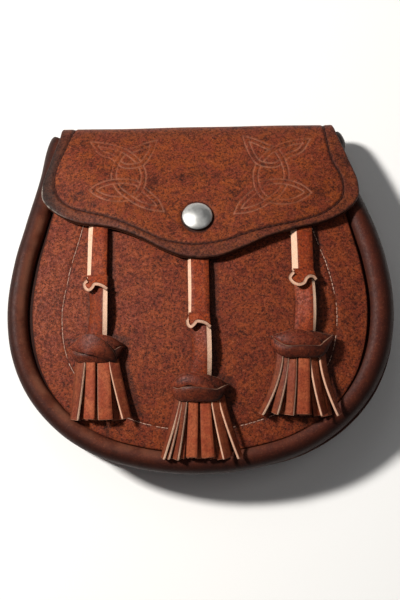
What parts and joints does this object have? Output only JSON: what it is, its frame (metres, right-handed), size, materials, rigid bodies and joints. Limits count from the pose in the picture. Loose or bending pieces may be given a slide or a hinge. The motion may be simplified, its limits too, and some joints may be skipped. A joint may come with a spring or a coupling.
{
  "type": "leather day sporran pouch",
  "caption": "Leather day sporran: a flat-backed waist pouch with a domed front, thong tassels, and a knotwork flap that a press stud closes over its mouth.",
  "frame": {"origin": "centre of the bounding box's base, on the surface that the belt loops rest on", "axes": "+Y up the pouch towards its fold, +Z out of its front, +X to the right of someone who looks at the front"},
  "size_m": [0.1912, 0.1776, 0.0528],
  "materials": {
    "flap_leather": "orange-brown, cloudy, waxed",
    "panel_leather": "reddish brown, finely mottled",
    "roll_leather": "dark brown, smooth, soft gloss",
    "thong_leather": "red-brown, pale raw edges",
    "fringe_leather": "orange-brown, pale raw edges",
    "nickel": "brushed nickel plate"
  },
  "bodies": {
    "root": {"back_and_flap": "flap_leather", "front_panel": "panel_leather", "gusset": "roll_leather", "thong_left": "thong_leather", "thong_centre": "thong_leather", "thong_right": "thong_leather", "tassel_head_left": "roll_leather", "tassel_head_centre": "roll_leather", "tassel_head_right": "roll_leather", "tassel_fringe_left": "fringe_leather", "tassel_fringe_centre": "fringe_leather", "tassel_fringe_right": "fringe_leather", "belt_loop_left": "roll_leather", "belt_loop_right": "roll_leather", "snap_cap": "nickel", "snap_stud": "nickel"}
  },
  "joints": []
}
